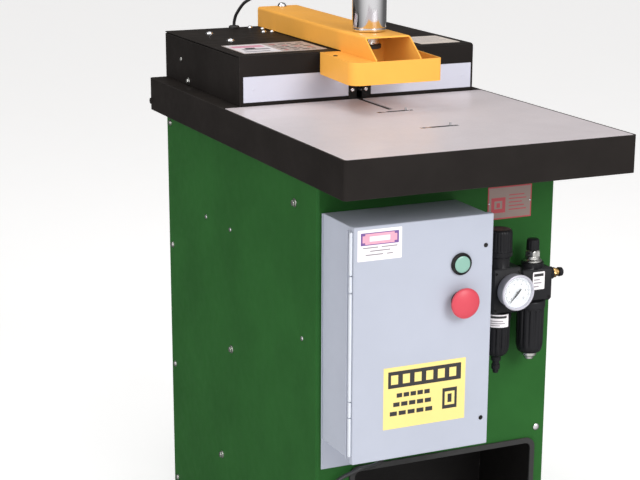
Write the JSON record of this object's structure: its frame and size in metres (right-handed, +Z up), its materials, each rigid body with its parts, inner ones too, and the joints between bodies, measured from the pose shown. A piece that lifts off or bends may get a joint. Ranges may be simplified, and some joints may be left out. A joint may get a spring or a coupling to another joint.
{
  "type": "pneumatic corner rounder",
  "caption": "Floor-standing corner rounder: cabinet with table, fence and cutter notch, overhead arm with clamp cylinder and guard, control enclosure and air unit",
  "frame": {"origin": "on the floor, under the middle of the table", "axes": "+Z up, +Y from the operator to the back, +X to the operator's right"},
  "size_m": [0.6131, 1.044, 1.3471],
  "materials": {
    "green_enamel": "semi-gloss baked enamel",
    "black_powder_coat": "fine texture powder coat",
    "grey_laminate": "satin decorative laminate",
    "yellow_enamel": "semi-gloss baked enamel",
    "pale_grey_enamel": "satin enamel",
    "anodised_aluminium": "clear anodised",
    "polished_stainless": "polished stainless tube",
    "zinc_plated_steel": "bright zinc plate",
    "machined_steel": "machined, lightly oiled",
    "dark_carbide": "ground, dark",
    "black_rubber": "matte",
    "black_plastic": "moulded, fine grain",
    "red_plastic": "moulded",
    "green_lens": "moulded",
    "white_dial": "printed dial in a bright case"
  },
  "bodies": {
    "machine": {"cabinet_wrap": "green_enamel", "cabinet_base": "green_enamel", "cabinet_rear": "green_enamel", "base_rail_left": "black_powder_coat", "base_rail_right": "black_powder_coat", "recess_liner": "black_powder_coat", "recess_trim": "black_rubber", "pedal_base": "black_powder_coat", "table_tray": "black_powder_coat", "table_laminate": "grey_laminate", "rear_deck": "black_powder_coat", "stop_plate_front": "zinc_plated_steel", "stop_plate_rear": "zinc_plated_steel", "fence_backer": "black_powder_coat", "fence_strip_left": "anodised_aluminium", "fence_strip_right": "anodised_aluminium", "notch_block_left": "black_powder_coat", "notch_block_right": "black_powder_coat", "housing_lid": "black_powder_coat", "housing_side_left": "black_powder_coat", "housing_rear": "black_powder_coat", "arm_channel": "yellow_enamel", "arm_pedestal": "machined_steel", "arm_dome_nut": "zinc_plated_steel", "guard_band": "yellow_enamel", "clamp_cylinder": "polished_stainless", "cylinder_cap": "polished_stainless", "nose_nut": "zinc_plated_steel", "cylinder_elbow": "black_plastic", "hose_grommet": "black_rubber", "air_hose": "black_rubber", "enclosure_mount_plate": "pale_grey_enamel", "enclosure_box": "pale_grey_enamel", "motor_contactor": "black_plastic", "lead_gland": "black_plastic", "regulator_body": "black_plastic", "filter_bowl": "black_plastic", "lubricator_body": "black_plastic", "lubricator_dome": "zinc_plated_steel", "lubricator_bowl": "black_plastic", "pressure_gauge": "white_dial", "lift_cylinder": "anodised_aluminium", "lead_grommet": "black_rubber", "pedal_lead": "black_rubber"},
    "clamp": {"clamp_rod": "machined_steel", "clamp_pad": "black_rubber"},
    "cutting_head": {"spindle_carriage": "machined_steel", "spindle_motor": "machined_steel", "lift_rod": "machined_steel"},
    "cutter": {"cutter": "dark_carbide"},
    "door": {"enclosure_door": "pale_grey_enamel", "start_bezel": "black_plastic", "stop_bezel": "black_plastic"},
    "start": {"start_button": "green_lens"},
    "stop": {"stop_mushroom": "red_plastic"},
    "finger_front": {"stop_finger_front": "machined_steel"},
    "finger_rear": {"stop_finger_rear": "machined_steel"},
    "pedal": {"pedal_treadle": "black_rubber"},
    "regulator": {"regulator_knob": "black_plastic"},
    "needle": {"gauge_needle": "black_plastic"}
  },
  "joints": [
    {"name": "clamp_stroke", "type": "slide", "parent": "machine", "child": "clamp", "axis": [0, 0, -1], "range_m": [0, 0.0975], "stiffness_N_per_m": 150, "springref_m": -0.12},
    {"name": "cutter_lift", "type": "slide", "parent": "machine", "child": "cutting_head", "axis": [0, 0, 1], "range_m": [0, 0.048]},
    {"name": "spindle_spin", "type": "hinge", "parent": "cutting_head", "child": "cutter", "pos_m": [0.0086, 0.09, 1.0357], "axis": [0, 1, 0], "continuous": true},
    {"name": "door_swing", "type": "hinge", "parent": "machine", "child": "door", "pos_m": [-0.2635, -0.451, 0.65], "axis": [0, 0, -1], "range_deg": [0, 110]},
    {"name": "start_press", "type": "slide", "parent": "door", "child": "start", "axis": [0, 1, 0], "range_m": [0, 0.0035], "stiffness_N_per_m": 500, "springref_m": -0.004},
    {"name": "stop_press", "type": "slide", "parent": "door", "child": "stop", "axis": [0, 1, 0], "range_m": [0, 0.006], "stiffness_N_per_m": 500, "springref_m": -0.006},
    {"name": "finger_front_fold", "type": "hinge", "parent": "machine", "child": "finger_front", "pos_m": [-0.007, -0.2952, 1.0119], "axis": [0, 1, 0], "range_deg": [0, 15], "stiffness_Nm_per_rad": 0.06, "springref_deg": -20.05},
    {"name": "finger_rear_fold", "type": "hinge", "parent": "machine", "child": "finger_rear", "pos_m": [-0.007, -0.107, 1.0119], "axis": [0, 1, 0], "range_deg": [0, 15], "stiffness_Nm_per_rad": 0.06, "springref_deg": -20.05},
    {"name": "pedal_press", "type": "hinge", "parent": "machine", "child": "pedal", "pos_m": [0.01495, -0.272, 0.0863], "axis": [-1, 0, 0], "range_deg": [0, 9], "stiffness_Nm_per_rad": 5, "springref_deg": -11.46},
    {"name": "regulator_turn", "type": "hinge", "parent": "machine", "child": "regulator", "pos_m": [0.1037, -0.3696, 0.79], "axis": [0, 0, 1], "range_deg": [-720, 720]},
    {"name": "needle_sweep", "type": "hinge", "parent": "machine", "child": "needle", "pos_m": [0.1188, -0.4207, 0.7015], "axis": [0, 1, 0], "range_deg": [0, 270], "stiffness_Nm_per_rad": 0.0006, "springref_deg": -17.19}
  ]
}
